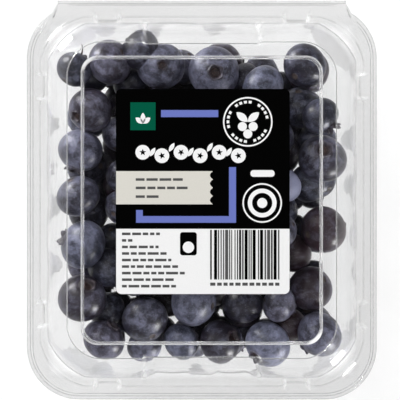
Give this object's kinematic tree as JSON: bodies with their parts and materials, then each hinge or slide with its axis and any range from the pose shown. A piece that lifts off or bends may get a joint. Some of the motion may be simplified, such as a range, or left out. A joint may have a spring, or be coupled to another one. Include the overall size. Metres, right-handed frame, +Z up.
{
  "type": "punnet of blueberries",
  "caption": "Closed clear plastic punnet with a hinged lid, filled with round dark berries, with a printed paper label on the lid.",
  "frame": {"origin": "under the middle of the closed pack's bounding box, on the surface that the foot ring stands on", "axes": "+Z up through the lid, +Y towards the hinge, +X to the right as seen from the front"},
  "size_m": [0.1054, 0.12, 0.037],
  "materials": {
    "tub_plastic": "clear glossy",
    "lid_plastic": "clear glossy",
    "label_paper": "satin print",
    "fruit_skin": "waxy bloom"
  },
  "bodies": {
    "tub": {"base_tub": "tub_plastic", "berry_heap": "fruit_skin"},
    "cover": {"lid": "lid_plastic", "label": "label_paper"}
  },
  "joints": [
    {"name": "lid_hinge", "type": "hinge", "parent": "tub", "child": "cover", "pos_m": [0, 0.05955, 0.02815], "axis": [-1, 0, 0], "range_deg": [0, 180]}
  ]
}
